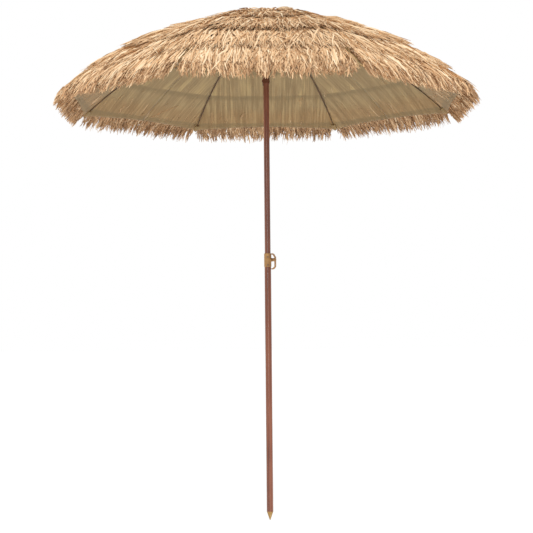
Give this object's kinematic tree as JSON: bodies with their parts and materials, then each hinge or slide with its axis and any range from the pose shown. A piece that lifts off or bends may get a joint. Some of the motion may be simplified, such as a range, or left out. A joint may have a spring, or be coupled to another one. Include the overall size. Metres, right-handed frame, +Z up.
{
  "type": "beach umbrella",
  "caption": "Thatched beach umbrella with a two-piece clamp pole, ground spike, folding ribs and stretchers, and a domed cloth canopy under raffia skirts.",
  "frame": {"origin": "tip of the ground spike, on the pole's axis", "axes": "+Z up the pole, -Y towards the side that the clamp handle leans to, +X to the handle's side"},
  "size_m": [1.787, 1.787, 2.217],
  "materials": {
    "pole_paint": "satin",
    "frame_paint": "satin",
    "bare_steel": "satin",
    "brass": "satin",
    "tan_plastic": "satin",
    "brown_plastic": "satin",
    "canopy_cloth": "matte",
    "raffia": "matte"
  },
  "bodies": {
    "lower_pole": {"lower_tube": "pole_paint", "ground_spike": "tan_plastic", "pole_collar": "tan_plastic", "clamp_insert": "brass", "collar_rivets": "brass"},
    "clamp_pad": {"clamp_pad": "brown_plastic"},
    "clamp_handle": {"clamp_handle": "tan_plastic", "clamp_screw": "bare_steel"},
    "upper_pole": {"upper_tube": "pole_paint", "tube_foot_bush": "brown_plastic", "crown_hub": "brown_plastic", "crown_wire": "bare_steel", "crown_cap": "brown_plastic", "crown_tuft": "raffia"},
    "runner_catch": {"runner_catch": "bare_steel"},
    "rib_1": {"rib_1": "frame_paint", "rib_fittings_1": "frame_paint", "canopy_panel_1": "canopy_cloth", "thatch_1": "raffia"},
    "rib_2": {"rib_2": "frame_paint", "rib_fittings_2": "frame_paint", "canopy_panel_2": "canopy_cloth", "thatch_2": "raffia"},
    "rib_3": {"rib_3": "frame_paint", "rib_fittings_3": "frame_paint", "canopy_panel_3": "canopy_cloth", "thatch_3": "raffia"},
    "rib_4": {"rib_4": "frame_paint", "rib_fittings_4": "frame_paint", "canopy_panel_4": "canopy_cloth", "thatch_4": "raffia"},
    "rib_5": {"rib_5": "frame_paint", "rib_fittings_5": "frame_paint", "canopy_panel_5": "canopy_cloth", "thatch_5": "raffia"},
    "rib_6": {"rib_6": "frame_paint", "rib_fittings_6": "frame_paint", "canopy_panel_6": "canopy_cloth", "thatch_6": "raffia"},
    "rib_7": {"rib_7": "frame_paint", "rib_fittings_7": "frame_paint", "canopy_panel_7": "canopy_cloth", "thatch_7": "raffia"},
    "rib_8": {"rib_8": "frame_paint", "rib_fittings_8": "frame_paint", "canopy_panel_8": "canopy_cloth", "thatch_8": "raffia"},
    "stretcher_1": {"stretcher_1": "frame_paint"},
    "stretcher_2": {"stretcher_2": "frame_paint"},
    "stretcher_3": {"stretcher_3": "frame_paint"},
    "stretcher_4": {"stretcher_4": "frame_paint"},
    "stretcher_5": {"stretcher_5": "frame_paint"},
    "stretcher_6": {"stretcher_6": "frame_paint"},
    "stretcher_7": {"stretcher_7": "frame_paint"},
    "stretcher_8": {"stretcher_8": "frame_paint"},
    "runner": {"runner": "brown_plastic", "runner_wire": "bare_steel"}
  },
  "joints": [
    {"name": "height_slide", "type": "slide", "parent": "lower_pole", "child": "upper_pole", "axis": [0, 0, 1], "range_m": [-0.15, 0]},
    {"name": "clamp_travel", "type": "slide", "parent": "lower_pole", "child": "clamp_pad", "axis": [0.9397, -0.342, 0], "range_m": [0, 0.00323]},
    {"name": "clamp_turn", "type": "hinge", "parent": "clamp_pad", "child": "clamp_handle", "pos_m": [0, 0, 1.116], "axis": [0.9397, -0.342, 0], "range_deg": [0, 900]},
    {"name": "catch_press", "type": "slide", "parent": "upper_pole", "child": "runner_catch", "axis": [1, 0, 0], "range_m": [0, 0.0036], "stiffness_N_per_m": 800},
    {"name": "canopy_fold", "type": "hinge", "parent": "upper_pole", "child": "rib_1", "pos_m": [0.01848, 0.00765, 2.165], "axis": [-0.3827, 0.9239, 0], "range_deg": [0, 62.56], "deforming": ["canopy_panel_1", "thatch_1", "runner_catch"]},
    {"name": "rib_2_fold", "type": "hinge", "parent": "upper_pole", "child": "rib_2", "pos_m": [0.00765, 0.01848, 2.165], "axis": [-0.9239, 0.3827, 0], "range_deg": [0, 62.56], "deforming": ["canopy_panel_2", "thatch_2"]},
    {"name": "rib_3_fold", "type": "hinge", "parent": "upper_pole", "child": "rib_3", "pos_m": [-0.00765, 0.01848, 2.165], "axis": [-0.9239, -0.3827, 0], "range_deg": [0, 62.56], "deforming": ["canopy_panel_3", "thatch_3"]},
    {"name": "rib_4_fold", "type": "hinge", "parent": "upper_pole", "child": "rib_4", "pos_m": [-0.01848, 0.00765, 2.165], "axis": [-0.3827, -0.9239, 0], "range_deg": [0, 62.56], "deforming": ["canopy_panel_4", "thatch_4"]},
    {"name": "rib_5_fold", "type": "hinge", "parent": "upper_pole", "child": "rib_5", "pos_m": [-0.01848, -0.00765, 2.165], "axis": [0.3827, -0.9239, 0], "range_deg": [0, 62.56], "deforming": ["canopy_panel_5", "thatch_5"]},
    {"name": "rib_6_fold", "type": "hinge", "parent": "upper_pole", "child": "rib_6", "pos_m": [-0.00765, -0.01848, 2.165], "axis": [0.9239, -0.3827, 0], "range_deg": [0, 62.56], "deforming": ["canopy_panel_6", "thatch_6"]},
    {"name": "rib_7_fold", "type": "hinge", "parent": "upper_pole", "child": "rib_7", "pos_m": [0.00765, -0.01848, 2.165], "axis": [0.9239, 0.3827, 0], "range_deg": [0, 62.56], "deforming": ["canopy_panel_7", "thatch_7"]},
    {"name": "rib_8_fold", "type": "hinge", "parent": "upper_pole", "child": "rib_8", "pos_m": [0.01848, -0.00765, 2.165], "axis": [0.3827, 0.9239, 0], "range_deg": [0, 62.56], "deforming": ["canopy_panel_8", "thatch_8"]},
    {"name": "stretcher_1_turn", "type": "hinge", "parent": "rib_1", "child": "stretcher_1", "pos_m": [0.37495, 0.15531, 2.06564], "axis": [-0.3827, 0.9239, 0], "range_deg": [-125.12, 0]},
    {"name": "stretcher_2_turn", "type": "hinge", "parent": "rib_2", "child": "stretcher_2", "pos_m": [0.15531, 0.37495, 2.06564], "axis": [-0.9239, 0.3827, 0], "range_deg": [-125.12, 0]},
    {"name": "stretcher_3_turn", "type": "hinge", "parent": "rib_3", "child": "stretcher_3", "pos_m": [-0.15531, 0.37495, 2.06564], "axis": [-0.9239, -0.3827, 0], "range_deg": [-125.12, 0]},
    {"name": "stretcher_4_turn", "type": "hinge", "parent": "rib_4", "child": "stretcher_4", "pos_m": [-0.37495, 0.15531, 2.06564], "axis": [-0.3827, -0.9239, 0], "range_deg": [-125.12, 0]},
    {"name": "stretcher_5_turn", "type": "hinge", "parent": "rib_5", "child": "stretcher_5", "pos_m": [-0.37495, -0.15531, 2.06564], "axis": [0.3827, -0.9239, 0], "range_deg": [-125.12, 0]},
    {"name": "stretcher_6_turn", "type": "hinge", "parent": "rib_6", "child": "stretcher_6", "pos_m": [-0.15531, -0.37495, 2.06564], "axis": [0.9239, -0.3827, 0], "range_deg": [-125.12, 0]},
    {"name": "stretcher_7_turn", "type": "hinge", "parent": "rib_7", "child": "stretcher_7", "pos_m": [0.15531, -0.37495, 2.06564], "axis": [0.9239, 0.3827, 0], "range_deg": [-125.12, 0]},
    {"name": "stretcher_8_turn", "type": "hinge", "parent": "rib_8", "child": "stretcher_8", "pos_m": [0.37495, -0.15531, 2.06564], "axis": [0.3827, 0.9239, 0], "range_deg": [-125.12, 0]},
    {"name": "runner_turn", "type": "hinge", "parent": "stretcher_1", "child": "runner", "pos_m": [0.01848, 0.00765, 1.96629], "axis": [-0.3827, 0.9239, 0], "range_deg": [0, 62.56]}
  ],
  "couplings": [
    {"joint": "clamp_travel", "follows": "clamp_turn", "m_per_rad": 0.00019894},
    {"joint": "rib_2_fold", "follows": "canopy_fold", "ratio": 1},
    {"joint": "rib_3_fold", "follows": "canopy_fold", "ratio": 1},
    {"joint": "rib_4_fold", "follows": "canopy_fold", "ratio": 1},
    {"joint": "rib_5_fold", "follows": "canopy_fold", "ratio": 1},
    {"joint": "rib_6_fold", "follows": "canopy_fold", "ratio": 1},
    {"joint": "rib_7_fold", "follows": "canopy_fold", "ratio": 1},
    {"joint": "rib_8_fold", "follows": "canopy_fold", "ratio": 1},
    {"joint": "stretcher_1_turn", "follows": "canopy_fold", "ratio": -2},
    {"joint": "stretcher_2_turn", "follows": "canopy_fold", "ratio": -2},
    {"joint": "stretcher_3_turn", "follows": "canopy_fold", "ratio": -2},
    {"joint": "stretcher_4_turn", "follows": "canopy_fold", "ratio": -2},
    {"joint": "stretcher_5_turn", "follows": "canopy_fold", "ratio": -2},
    {"joint": "stretcher_6_turn", "follows": "canopy_fold", "ratio": -2},
    {"joint": "stretcher_7_turn", "follows": "canopy_fold", "ratio": -2},
    {"joint": "stretcher_8_turn", "follows": "canopy_fold", "ratio": -2},
    {"joint": "runner_turn", "follows": "canopy_fold", "ratio": 1}
  ]
}
